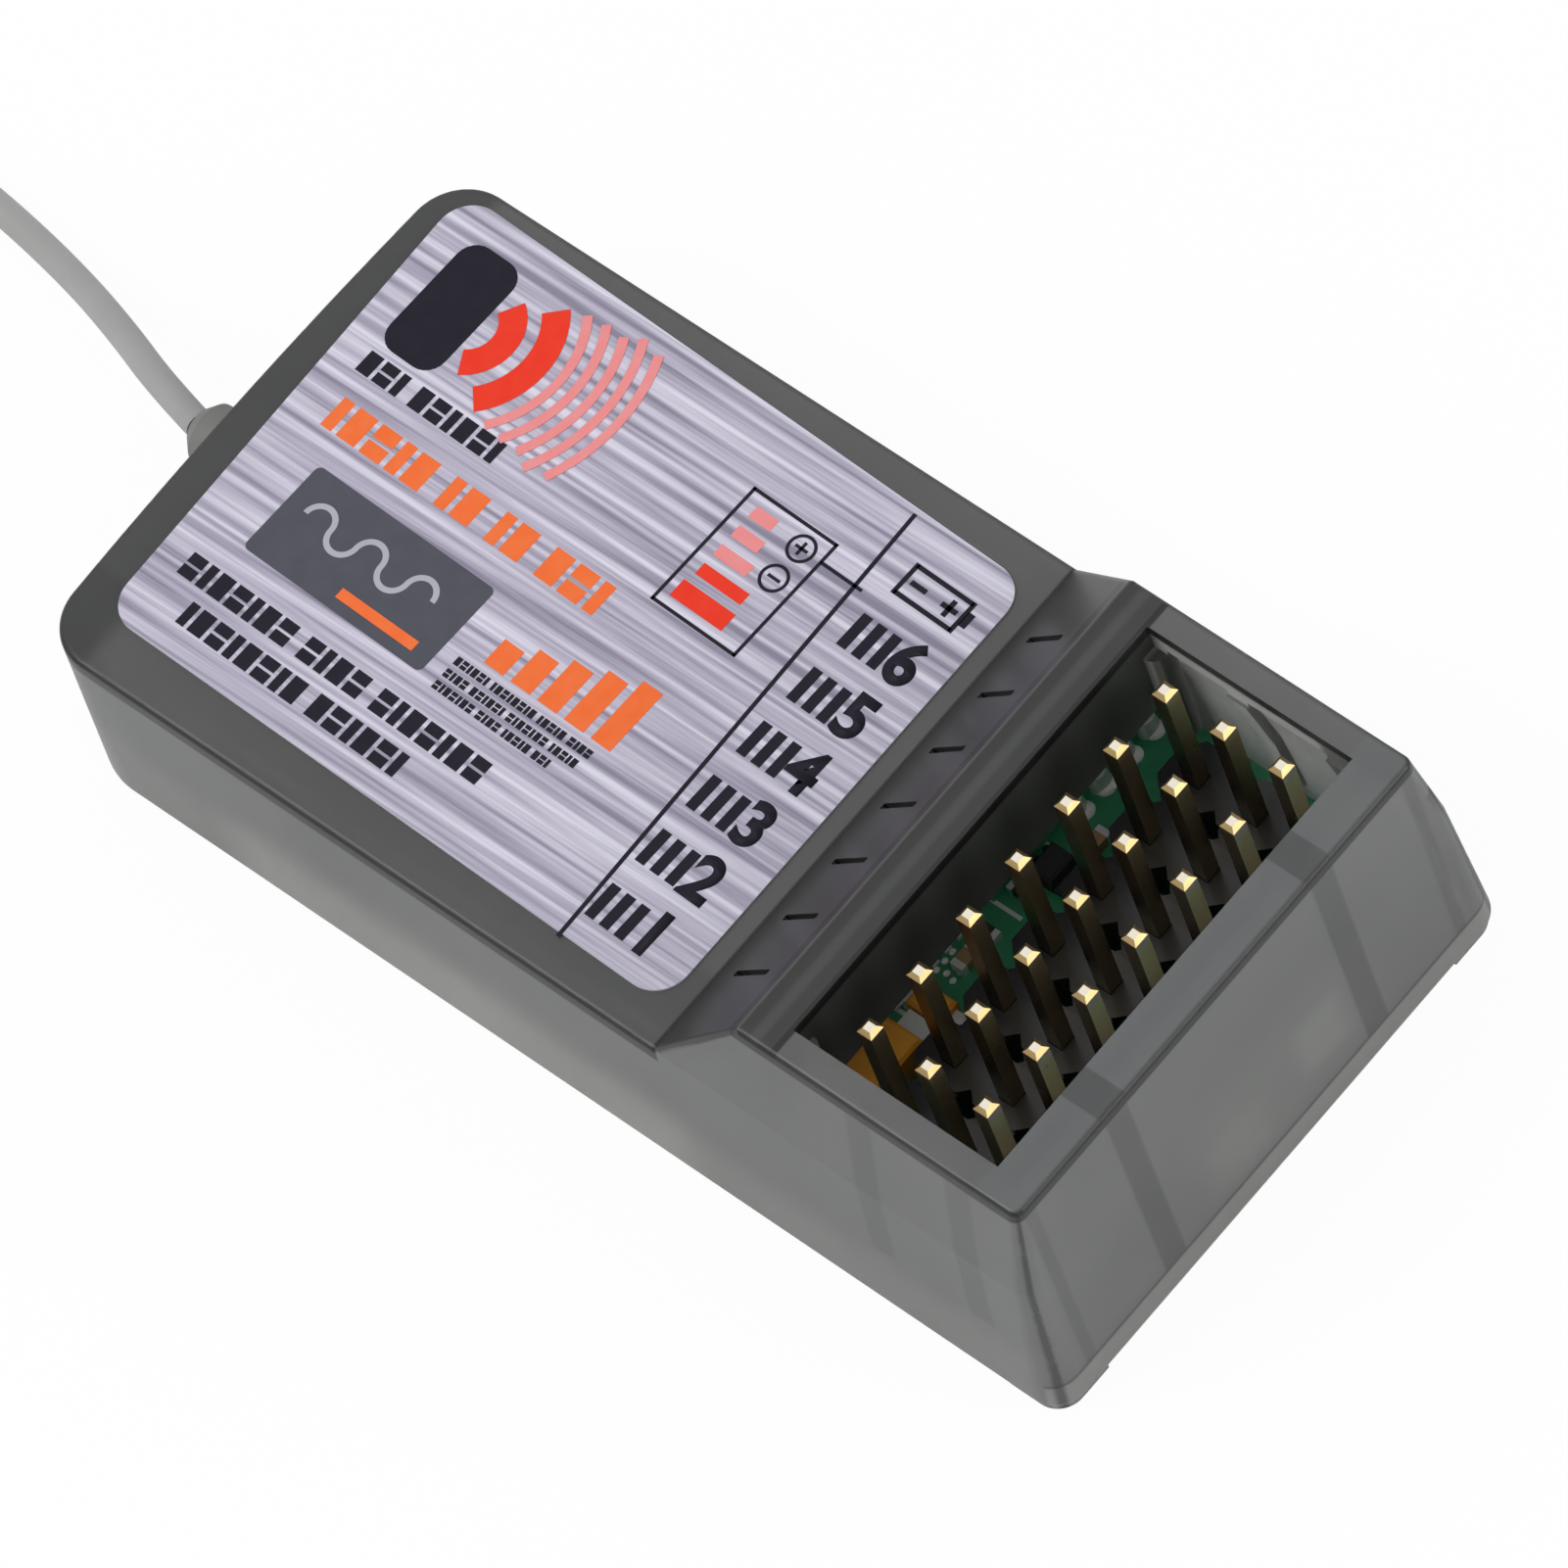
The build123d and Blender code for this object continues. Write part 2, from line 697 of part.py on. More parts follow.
# Chip resistors and chip capacitors: a block for each body, and a tinned block at each end.
# The places are distances from the radio board's front edge and from the middle line, and
# the turn of each part. One resistor stands beside the regulator's tab.
tab_side_x = regulator_x + (regulator_tab_width + chip_part_width) / 2 + resistor_gap
tab_side_y = regulator_y - (regulator_width + chip_part_length) / 2 - resistor_gap
resistor_places = [
    (0.6, 1.75, 0),
    (0.6, -0.2, 0),
    (-14.4, -5.2, 0),
    (-14.4, -6.6, 0),
    (tab_side_x - module_front, tab_side_y, 90),
    (-13.8, -2.4, 90),
]
chip_cap_places = [
    (0.75, -1.35, 90),
    (1.55, 4.55, 90),
    (-9.4, -1.2, 90),
    (-10.8, -1.2, 90),
    (-18.5, -6.0, 0),
    (-18.5, -4.4, 0),
]
chip_body_length = chip_part_length - 2 * chip_part_end
chip_groups = [(resistor_places, resistor_height, "chip_resistors")]
chip_groups += [(chip_cap_places, chip_cap_height, "chip_capacitors")]
for places, height, name in chip_groups:
    with BuildPart() as bodies:
        for x, y, turn in places:
            with BuildSketch(turned_plane(module_front + x, y, board_top, turn)):
                Rectangle(chip_body_length, chip_part_width)
            extrude(amount=height)
    save(bodies.part, name)
with BuildPart() as chip_ends:
    for places, height, name in chip_groups:
        for x, y, turn in places:
            with BuildSketch(turned_plane(module_front + x, y, board_top, turn)):
                with GridLocations(chip_part_length - chip_part_end, 1, 2, 1):
                    Rectangle(chip_part_end, chip_part_width)
            extrude(amount=height)
save(chip_ends.part, "chip_ends")

# Aerial boot: a soft collar with a flange inside the rear wall and a short sleeve outside
rear_face = rear_x(lead_height)
boot_bore = lead_radius + boot_bore_fit
boot_inner_end = -wall - boot_hole_fit - boot_flange_thickness
with BuildPart() as antenna_boot:
    with BuildSketch(Plane(origin=(rear_face, lead_side, lead_height), x_dir=(-1, 0, 0), z_dir=(0, -1, 0))):
        with BuildLine():
            Polyline(
                (boot_inner_end, boot_bore),
                (boot_inner_end, boot_flange_radius),
                (boot_inner_end + boot_flange_thickness, boot_flange_radius),
                (boot_inner_end + boot_flange_thickness, boot_neck_radius),
                (boot_hole_fit, boot_neck_radius),
                (boot_hole_fit, boot_radius),
                (boot_length - boot_nose_length, boot_nose_radius),
                (boot_length, boot_tip_radius),
                (boot_length, boot_bore),
                close=True,
            )
        make_face()
    revolve(axis=Axis((rear_face, lead_side, lead_height), (-1, 0, 0)))
    fillet(antenna_boot.edges().group_by(Axis.X)[0].sort_by(SortBy.RADIUS)[-1], boot_flange_round)
save(antenna_boot.part, "antenna_boot")


def lead_tube(route, name):
    """Round lead along straight runs joined by arcs as large as the runs allow."""
    points = [Vector(*point) for point in route]
    radii = []
    for before, corner, after in zip(points, points[1:], points[2:]):
        turn = radians((corner - before).get_angle(after - corner))
        shorter = min((corner - before).length, (after - corner).length)
        radii.append(arc_share * shorter / tan(turn / 2))
    with BuildPart() as tube:
        with BuildLine() as path:
            FilletPolyline(*points, radius=radii)
        with BuildSketch(Plane(origin=points[0], z_dir=points[1] - points[0])):
            Circle(lead_radius)
        sweep()
    length = path.wire().length
    print(name, "radii", [round(radius, 1) for radius in radii], "length", round(length, 2))
    print(name, "volume", round(tube.part.volume, 3), "section", round(pi * lead_radius**2 * length, 3))
    return tube.part


# Free stretch of the lead: out of the boot, down to the surface and along it in a slow curve
boot_tip = rear_face - boot_length
lead_route = [
    (boot_tip, lead_side, lead_height),
    (-27.4, -0.12, 4.22),
    (-30.6, 1.05, 2.88),
    (-34.4, 2.26, 1.25),
    (-38.6, 3.08, 0.6),
    (-43.6, 3.55, 0.57),
    (-49.4, 3.45, 0.57),
    (-55.0, 2.55, 0.57),
]
save(lead_tube(lead_route, "antenna_lead"), "antenna_lead")

# Stretch inside: through the boot and up on the radio board, with its bared core at the end
tail_height = module_top + lead_radius + tail_lift
tail_route = [
    (boot_tip + tail_gap, lead_side, lead_height),
    (board_rear + tail_entry, lead_side, lead_height),
    (module_rear - tail_rise_start, lead_side + tail_rise_side, lead_height + tail_hump),
    (module_rear - tail_landing, lead_side + tail_landing_side, tail_height),
    (module_rear + tail_run, lead_side + tail_end_side, tail_height),
]
tail_end = Vector(*tail_route[-1])
tail_way = (tail_end - Vector(*tail_route[-2])).normalized()
tail_sheath = lead_tube(tail_route, "antenna_tail")
with BuildPart() as antenna_tail:
    add(tail_sheath)
    with BuildSketch(Plane(origin=tail_end, z_dir=tail_way)):
        Circle(core_radius)
    extrude(amount=core_length)
save(antenna_tail.part, "antenna_tail")

# Solder joint that holds the bared core on the radio board
solder_centre = tail_end + tail_way * core_length
with BuildPart() as antenna_solder:
    with BuildSketch(Plane.XY.offset(module_top)):
        with Locations((solder_centre.X, solder_centre.Y)):
            Circle(core_solder_radius)
    extrude(amount=tail_height - module_top + core_radius + core_solder_cover, taper=core_solder_taper)
    add(antenna_tail.part, mode=Mode.SUBTRACT)
save(antenna_solder.part, "antenna_solder")
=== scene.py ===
from math import atan2, degrees, radians

import bpy
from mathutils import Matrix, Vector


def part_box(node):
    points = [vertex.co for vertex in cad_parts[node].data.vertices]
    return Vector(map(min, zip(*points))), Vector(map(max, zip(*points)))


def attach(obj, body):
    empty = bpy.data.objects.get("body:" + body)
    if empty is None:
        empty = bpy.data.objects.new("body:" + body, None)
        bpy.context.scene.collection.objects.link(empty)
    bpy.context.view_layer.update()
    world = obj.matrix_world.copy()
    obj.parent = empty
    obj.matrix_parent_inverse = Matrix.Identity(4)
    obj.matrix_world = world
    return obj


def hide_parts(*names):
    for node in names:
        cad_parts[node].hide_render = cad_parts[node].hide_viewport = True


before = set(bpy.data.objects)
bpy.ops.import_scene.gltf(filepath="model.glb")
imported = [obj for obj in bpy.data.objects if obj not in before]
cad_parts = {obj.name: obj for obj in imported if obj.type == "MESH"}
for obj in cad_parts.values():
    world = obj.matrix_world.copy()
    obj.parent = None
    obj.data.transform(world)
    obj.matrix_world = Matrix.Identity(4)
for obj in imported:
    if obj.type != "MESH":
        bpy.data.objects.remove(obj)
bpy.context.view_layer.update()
mm = 0.001

# Camera: a long lens a little over half a metre away, above the near corner of the pin end.
# It is rolled about its own axis. Colours are shown as they are written.
camera_place = (0.25970, -0.14623, 0.48363)
camera_turn = (radians(29.7211), radians(11.8418), radians(40.7027))
bpy.ops.object.camera_add(location=camera_place, rotation=camera_turn)
camera = bpy.context.object
camera.data.lens = 385.77
camera.data.sensor_width = 36
camera.data.clip_start = 0.02
camera.data.clip_end = 20
bpy.context.scene.camera = camera
bpy.context.scene.view_settings.view_transform = "Standard"

# Table: a plain white sheet under the receiver. Seen by the camera it goes on into white, and
# only the soft shadow next to the case stays on it.
table_width = 6
table_gap = 0.02 * mm
sheet_colour = (0.9, 0.9, 0.9, 1)
sheet_roughness = 0.7
sheet_white = 0.95
bpy.ops.mesh.primitive_plane_add(size=table_width, location=(0, 0, -table_gap))
table = bpy.context.object
table.name = "table"
table_paint = bpy.data.materials.new("table_paint")
table_paint.use_nodes = True
nodes = table_paint.node_tree.nodes
links = table_paint.node_tree.links
nodes["Principled BSDF"].inputs["Base Color"].default_value = sheet_colour
nodes["Principled BSDF"].inputs["Roughness"].default_value = sheet_roughness
seen_by = nodes.new("ShaderNodeLightPath")
white = nodes.new("ShaderNodeEmission")
white.inputs["Strength"].default_value = 1.0
share = nodes.new("ShaderNodeMath")
share.operation = "MULTIPLY"
share.inputs[1].default_value = sheet_white
links.new(seen_by.outputs["Is Camera Ray"], share.inputs[0])
sheet = nodes.new("ShaderNodeMixShader")
links.new(share.outputs[0], sheet.inputs["Fac"])
links.new(nodes["Principled BSDF"].outputs["BSDF"], sheet.inputs[1])
links.new(white.outputs["Emission"], sheet.inputs[2])
links.new(sheet.outputs["Shader"], nodes["Material Output"].inputs["Surface"])
table.data.materials.append(table_paint)

# Light: a pale room that is plain white where the camera, the plastic and the metal show it, a
# broad lamp high on the left, and a softer one behind the pin end.
room_colour = (0.97, 0.98, 1.0, 1)
room_strength = 0.7
world = bpy.data.worlds.new("room")
bpy.context.scene.world = world
world.use_nodes = True
nodes = world.node_tree.nodes
links = world.node_tree.links
room = nodes["Background"]
room.inputs["Color"].default_value = room_colour
room.inputs["Strength"].default_value = room_strength
backdrop = nodes.new("ShaderNodeBackground")
backdrop.inputs["Strength"].default_value = 1.0
seen_by = nodes.new("ShaderNodeLightPath")
either = nodes.new("ShaderNodeMath")
either.operation = "MAXIMUM"
links.new(seen_by.outputs["Is Camera Ray"], either.inputs[0])
links.new(seen_by.outputs["Is Transmission Ray"], either.inputs[1])
or_mirrored = nodes.new("ShaderNodeMath")
or_mirrored.operation = "MAXIMUM"
links.new(either.outputs[0], or_mirrored.inputs[0])
links.new(seen_by.outputs["Is Glossy Ray"], or_mirrored.inputs[1])
mixed = nodes.new("ShaderNodeMixShader")
links.new(or_mirrored.outputs[0], mixed.inputs["Fac"])
links.new(room.outputs["Background"], mixed.inputs[1])
links.new(backdrop.outputs["Background"], mixed.inputs[2])
links.new(mixed.outputs["Shader"], nodes["World Output"].inputs["Surface"])

for name, place, turn, size, power in (
    ("high_lamp", (-0.30, -0.45, 0.70), (radians(37.7), 0, radians(-33.7)), 0.45, 2.6),
    ("end_lamp", (0.60, 0.30, 0.22), (radians(72), 0, radians(116.6)), 0.35, 1.5),
):
    bpy.ops.object.light_add(type="AREA", location=place, rotation=turn)
    lamp = bpy.context.object
    lamp.name = name
    lamp.data.shape = "DISK"
    lamp.data.size = size
    lamp.data.energy = power

# Case: two shells moulded in smoky see-through plastic, snapped together all round. The faces
# are satin, with faint clouds in the plastic. Like every other moulded, painted or plated piece,
# it takes its clouds and its fine grain from one group.
surface = bpy.data.node_groups.new("moulded_surface", "ShaderNodeTree")
for socket, kind, value in (
    ("Colour", "NodeSocketColor", (0.5, 0.5, 0.5, 1)),
    ("Cloud colour", "NodeSocketColor", (0.5, 0.5, 0.5, 1)),
    ("Clouds per metre", "NodeSocketFloat", 300),
    ("Cloud share", "NodeSocketFloat", 0.5),
    ("Roughness", "NodeSocketFloat", 0.4),
    ("Roughness spread", "NodeSocketFloat", 0.1),
    ("Grains per metre", "NodeSocketFloat", 6000),
):
    entry = surface.interface.new_socket(name=socket, in_out="INPUT", socket_type=kind)
    entry.default_value = value
for socket, kind in (
    ("Colour", "NodeSocketColor"),
    ("Roughness", "NodeSocketFloat"),
    ("Height", "NodeSocketFloat"),
):
    surface.interface.new_socket(name=socket, in_out="OUTPUT", socket_type=kind)
nodes = surface.nodes
links = surface.links
given = nodes.new("NodeGroupInput")
result = nodes.new("NodeGroupOutput")
place = nodes.new("ShaderNodeTexCoord")
clouds = nodes.new("ShaderNodeTexNoise")
clouds.inputs["Detail"].default_value = 4
links.new(place.outputs["Object"], clouds.inputs["Vector"])
links.new(given.outputs["Clouds per metre"], clouds.inputs["Scale"])
cover = nodes.new("ShaderNodeMath")
cover.operation = "MULTIPLY"
links.new(clouds.outputs["Fac"], cover.inputs[0])
links.new(given.outputs["Cloud share"], cover.inputs[1])
tint = nodes.new("ShaderNodeMix")
tint.data_type = "RGBA"
links.new(cover.outputs[0], tint.inputs["Factor"])
links.new(given.outputs["Colour"], tint.inputs["A"])
links.new(given.outputs["Cloud colour"], tint.inputs["B"])
links.new(tint.outputs["Result"], result.inputs["Colour"])
grain = nodes.new("ShaderNodeTexNoise")
grain.inputs["Detail"].default_value = 2
links.new(place.outputs["Object"], grain.inputs["Vector"])
links.new(given.outputs["Grains per metre"], grain.inputs["Scale"])
links.new(grain.outputs["Fac"], result.inputs["Height"])
spread = nodes.new("ShaderNodeMath")
spread.operation = "MULTIPLY_ADD"
links.new(clouds.outputs["Fac"], spread.inputs[0])
links.new(given.outputs["Roughness spread"], spread.inputs[1])
links.new(given.outputs["Roughness"], spread.inputs[2])
links.new(spread.outputs[0], result.inputs["Roughness"])
grain_depth = 0.02 * mm


def finish(name, colour, clouded, clouds=300, share=0.6, rough=0.35, spread=0.12, bump=0.03):
    """A material whose colour, roughness and grain come from the moulded surface group."""
    material = bpy.data.materials.new(name)
    material.use_nodes = True
    nodes = material.node_tree.nodes
    links = material.node_tree.links
    skin = nodes.new("ShaderNodeGroup")
    skin.node_tree = surface
    skin.inputs["Colour"].default_value = (*colour, 1)
    skin.inputs["Cloud colour"].default_value = (*clouded, 1)
    skin.inputs["Clouds per metre"].default_value = clouds
    skin.inputs["Cloud share"].default_value = share
    skin.inputs["Roughness"].default_value = rough
    skin.inputs["Roughness spread"].default_value = spread
    relief = nodes.new("ShaderNodeBump")
    relief.inputs["Strength"].default_value = bump
    relief.inputs["Distance"].default_value = grain_depth
    shader = nodes["Principled BSDF"]
    links.new(skin.outputs["Colour"], shader.inputs["Base Color"])
    links.new(skin.outputs["Roughness"], shader.inputs["Roughness"])
    links.new(skin.outputs["Height"], relief.inputs["Height"])
    links.new(relief.outputs["Normal"], shader.inputs["Normal"])
    return material


def dress(material, *names):
    """Give CAD pieces a material in their first slot."""
    for name in names:
        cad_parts[name].material_slots[0].material = material


def maths(tree, operation, first, second=0):
    """The result of a maths node on a socket and, where it takes two, a second socket or a number."""
    node = tree.nodes.new("ShaderNodeMath")
    node.operation = operation
    tree.links.new(first, node.inputs[0])
    if isinstance(second, (int, float)):
        node.inputs[1].default_value = second
    else:
        tree.links.new(second, node.inputs[1])
    return node.outputs[0]


def tinted(tree, mask, tone, change, blend="MULTIPLY"):
    """A tone that a colour multiplies, or takes the place of, where the mask is 1."""
    node = tree.nodes.new("ShaderNodeMix")
    node.data_type = "RGBA"
    node.blend_type = blend
    node.inputs["B"].default_value = (*change, 1)
    tree.links.new(mask, node.inputs["Factor"])
    tree.links.new(tone, node.inputs["A"])
    return node.outputs["Result"]


smoke_grey = (0.315, 0.318, 0.31)
smoke_cloud = (0.20, 0.205, 0.202)
smoke = finish("smoky_plastic", smoke_grey, smoke_cloud, 160, 0.7, rough=0.31, spread=0.08, bump=0.0)
smoke_shader = smoke.node_tree.nodes["Principled BSDF"]
smoke_shader.inputs["Transmission Weight"].default_value = 0.65
smoke_shader.inputs["IOR"].default_value = 1.5
smoke_shader.inputs["Specular IOR Level"].default_value = 0.3
dress(smoke, "upper_case", "lower_case")

# Painted light and shade on the case: the plastic's colour is painted darker where the board lies close
# behind it, at ribs and at moulded edges, and painted paler where light from the table comes through its
# low walls. Each call of shade paints one such place, with its spans along the case, across it and upwards
# in millimetres.
place = smoke.node_tree.nodes.new("ShaderNodeTexCoord")
where = smoke.node_tree.nodes.new("ShaderNodeSeparateXYZ")
smoke.node_tree.links.new(place.outputs["Object"], where.inputs["Vector"])
shape = smoke.node_tree.nodes.new("ShaderNodeNewGeometry")
looks = smoke.node_tree.nodes.new("ShaderNodeSeparateXYZ")
smoke.node_tree.links.new(shape.outputs["Normal"], looks.inputs["Vector"])
turn_soft = 0.15


def window(socket, low, high, soft):
    """A mask that is 1 between two values and fades to 0 over a soft margin outside them."""
    sides = []
    for outside, inside in ((low - soft, low), (high + soft, high)):
        fade = smoke.node_tree.nodes.new("ShaderNodeMapRange")
        fade.interpolation_type = "SMOOTHSTEP"
        fade.inputs["From Min"].default_value = outside
        fade.inputs["From Max"].default_value = inside
        smoke.node_tree.links.new(socket, fade.inputs["Value"])
        sides.append(fade.outputs["Result"])
    return maths(smoke.node_tree, "MULTIPLY", sides[0], sides[1])


def shade(change, faces, soft, along=None, across=None, up=None):
    """Multiply the plastic's colour in a place by a painted shade or light, on faces whose normal lies in a
    range on one axis.
    """
    axis, low, high = faces
    mask = window(looks.outputs[axis], low, high, turn_soft)
    for axis, span in (("X", along), ("Y", across), ("Z", up)):
        if span:
            inside = window(where.outputs[axis], span[0] * mm, span[1] * mm, soft * mm)
            mask = maths(smoke.node_tree, "MULTIPLY", mask, inside)
    tone = smoke_shader.inputs["Base Color"].links[0].from_socket
    toned = tinted(smoke.node_tree, mask, tone, change)
    smoke.node_tree.links.new(toned, smoke_shader.inputs["Base Color"])


# Ways that the case's faces look, so that a painted shade or light stays on the walls it belongs to. Each
# is an axis with the least and the greatest share of the face's normal along it.
sloping_up = ("Z", 0.4, 1.1)
facing_up = ("Z", 0.6, 1.1)
round_edge = ("Z", -1.1, 0.93)
upright = ("Z", -0.7, 0.7)
to_pin_end = ("X", 0.5, 1.1)
to_near = ("Y", -1.1, -0.6)
to_far = ("Y", 0.6, 1.1)

# Ramp from the label up to the pin bay: painted shade all over, where the dark inside shows through,
# darkest near its head, with painted shade darker still on the two long sides of its tick grooves.
ramp = (5.9, 10.1)
ramp_up = (7.6, 12.6)
shade((0.20, 0.20, 0.185), sloping_up, 0.1, along=ramp, up=ramp_up)
shade((0.74, 0.77, 0.72), sloping_up, 1.2, along=(9.0, 10.2), up=ramp_up)
for groove_side in (("Y", -1.1, -0.4), ("Y", 0.4, 1.1)):
    shade((0.12, 0.12, 0.12), groove_side, 0.1, ramp, (-8.9, 8.9), ramp_up)

# Rim of the pin bay: its rear bar painted dark, with a painted highlight streak and a painted dark line at
# its inner edge, and the bar at the pin end painted paler, with painted shade in two patches over the ribs.
rim_up = (12.2, 12.6)
rim_front = (20.7, 23.0)
shade((0.34, 0.34, 0.34), sloping_up, 0.1, along=(10.35, 11.9), up=rim_up)
shade((1.6, 1.64, 1.64), sloping_up, 0.25, along=(10.9, 11.05), up=rim_up)
shade((0.4, 0.4, 0.4), sloping_up, 0.05, along=(11.74, 11.95), up=rim_up)
shade((1.1, 1.12, 1.16), facing_up, 0.05, along=rim_front, up=(12.3, 12.6))
for patch in ((-5.9, -4.7), (4.7, 5.9)):
    shade((0.6, 0.6, 0.6), facing_up, 0.08, rim_front, patch, rim_up)

# Margin round the label: painted shade along the rear wall, where the radio board is close under it, and a
# little painted shade along the near wall.
shade((0.52, 0.52, 0.54), facing_up, 0.8, along=(-23.0, -20.6), up=(7.0, 8.2))
shade((0.8, 0.8, 0.8), ("Z", 0.8, 1.1), 0.5, (-23.0, 5.9), (-12.0, -8.0), (7.0, 7.9))

# Rounded edges: dark lines all round the top and the rim, where the curve turns the light away,
# and down the two upright corners of the pin end.
shade((0.06, 0.06, 0.065), round_edge, 0.15, along=(-23.0, 6.0), up=(7.22, 7.68))
shade((0.10, 0.10, 0.105), round_edge, 0.1, along=(9.5, 23.0), up=(11.95, 12.34))
corner = (20.5, 23.0)
shade((0.30, 0.30, 0.31), ("Y", -0.68, -0.58), 0.5, along=corner, up=(0.0, 12.6))
shade((0.40, 0.40, 0.41), ("Y", 0.58, 0.68), 0.5, along=corner, up=(0.0, 12.6))

# Pin end: painted dark bands over its two ribs, painted dark lines beside its corners where the inner walls
# show through, a dark line over the seam, three painted soft patches of light, and the foot of the lower
# shell painted paler.
end_wall = (20.9, 23.0)
end_up = (1.9, 12.0)
for band in ((-5.75, -4.85), (4.85, 5.75)):
    shade((0.64, 0.64, 0.64), to_pin_end, 0.16, end_wall, band, end_up)
for line in ((-9.85, -9.55), (9.55, 9.85)):
    shade((0.75, 0.75, 0.75), to_pin_end, 0.2, end_wall, line, end_up)
shade((0.6, 0.6, 0.6), to_pin_end, 0.06, along=end_wall, up=(1.72, 1.82))
shade((1.2, 1.2, 1.18), to_pin_end, 3.5, end_wall, (-1.0, 3.5), (3.5, 5.5))
shade((1.25, 1.25, 1.24), to_pin_end, 1.2, end_wall, (2.6, 3.6), (3.8, 5.4))
shade((1.15, 1.15, 1.13), to_pin_end, 1.3, end_wall, (-2.2, -0.6), (3.0, 4.4))
shade((1.6, 1.6, 1.56), to_pin_end, 0.1, along=end_wall, up=(0.0, 1.6))

# Long walls: painted dark bands over the side ribs, and painted light of the table that comes through low
# down, most of it at the middle of the case.
rib_up = (4.2, 11.8)
for rib in ((15.08, 15.98), (19.42, 20.32)):
    shade((0.78, 0.78, 0.78), to_near, 0.2, rib, (-12.0, -8.5), rib_up)
    shade((0.78, 0.78, 0.78), to_far, 0.2, along=rib, up=rib_up)
shade((1.62, 1.6, 1.56), upright, 3.0, along=(-24.0, 20.5), up=(0.0, 1.5))
shade((1.4, 1.38, 1.35), upright, 3.0, along=(-13.0, 5.0), up=(0.0, 2.2))

# Inside of the pin bay: painted shade on the dark curtain wall, painted light on the far wall with daylight
# behind it and on the rear side of its rib, and painted shade on the top of the far corner column.
bay_up = (3.0, 11.6)
shade((0.30, 0.32, 0.30), ("X", 0.6, 1.1), 0.3, along=(11.3, 12.6), up=(5.0, 12.1))
shade((3.8, 3.75, 3.6), to_near, 0.5, (12.3, 19.0), (8.6, 11.4), bay_up)
shade((4.5, 4.5, 4.4), ("X", -1.1, -0.6), 0.3, (15.0, 16.1), (8.9, 11.4), bay_up)
shade((0.35, 0.35, 0.34), ("Z", 0.5, 1.1), 0.2, (12.1, 13.8), (8.4, 10.6), (10.0, 12.0))

# Boards: glass fibre laminate under a green lacquer. The main board sits on the posts of the
# lower shell, and the radio board stands on it. Three white bars are printed in front of it.
mark_places = (3.60, 0.93, -4.06)
mark_middle = 10.4 * mm
mark_length = 1.4 * mm
mark_width = 0.16 * mm
paint_thickness = 0.02 * mm
board_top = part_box("main_board")[1].z


def joined(pieces, name):
    """Join pieces into one mesh at the origin, with a name and no material."""
    bpy.ops.object.select_all(action="DESELECT")
    for piece in pieces:
        piece.select_set(True)
    bpy.context.view_layer.objects.active = pieces[0]
    bpy.ops.object.join()
    whole = bpy.context.object
    whole.name = name
    bpy.ops.object.transform_apply(location=True, rotation=True, scale=True)
    whole.data.materials.clear()
    return whole


def thicken(piece, thickness):
    """Turn a flat mesh into a film of a given thickness under its face."""
    film = piece.modifiers.new("film", "SOLIDIFY")
    film.thickness = thickness
    film.offset = 1
    bpy.ops.object.modifier_apply(modifier=film.name)


def add_piece(piece, material):
    """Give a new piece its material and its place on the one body."""
    piece.data.materials.append(material)
    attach(piece, "root")


board_green = (0.022, 0.23, 0.10)
board_cloud = (0.04, 0.36, 0.17)
lacquer = finish("board_lacquer", board_green, board_cloud, 700, rough=0.28, spread=0.1, bump=0.004)
dress(lacquer, "main_board", "radio_board")
marks = []
for y in mark_places:
    bpy.ops.object.select_all(action="DESELECT")
    bpy.ops.mesh.primitive_plane_add(size=1, location=(mark_middle, y * mm, board_top))
    mark = bpy.context.object
    mark.scale = (mark_length, mark_width, 1)
    marks.append(mark)
marks = joined(marks, "board_marks")
thicken(marks, paint_thickness)
board_paint = finish("board_print", (0.70, 0.72, 0.70), (0.55, 0.58, 0.55), 2500, rough=0.5, bump=0.0)
add_piece(marks, board_paint)

# Chips: black resin packages soldered flat on the boards, and the small resistors beside them,
# which are black too. The small capacitors are blocks of fired ceramic.
resin = finish("chip_resin", (0.014, 0.014, 0.015), (0.03, 0.03, 0.032), 3000, rough=0.5, spread=0.15)
dress(resin, "controller_chip", "radio_chip", "interface_chip", "voltage_regulator", "chip_resistors")
ceramic = finish("fired_ceramic", (0.38, 0.25, 0.13), (0.28, 0.17, 0.08), 3000, rough=0.45)
dress(ceramic, "chip_capacitors")

# Tantalum capacitors: blocks of yellow resin moulded round a pressed core, with tinned ends.
# The status lamp is a small block of pale red resin.
amber = finish("capacitor_resin", (0.80, 0.36, 0.03), (0.62, 0.24, 0.02), 1200, rough=0.35)
dress(amber, "tantalum_capacitor_1", "tantalum_capacitor_2")
lamp_lens = finish("lamp_resin", (0.85, 0.25, 0.18), (0.9, 0.5, 0.4), 1500, rough=0.15)
dress(lamp_lens, "status_led")

# Tinned metal: the solder under the pins, at the radio board and at the aerial, the leads and
# ends of the chips and capacitors, and the drawn can of the crystal.
tin = finish("solder_tin", (0.80, 0.81, 0.80), (0.60, 0.61, 0.61), 2500, rough=0.25, spread=0.2, bump=0.004)
tin.node_tree.nodes["Principled BSDF"].inputs["Metallic"].default_value = 0.55
dress(tin, "header_solder", "module_solder", "antenna_solder", "chip_leads", "chip_ends")
dress(tin, "capacitor_terminals", "crystal")
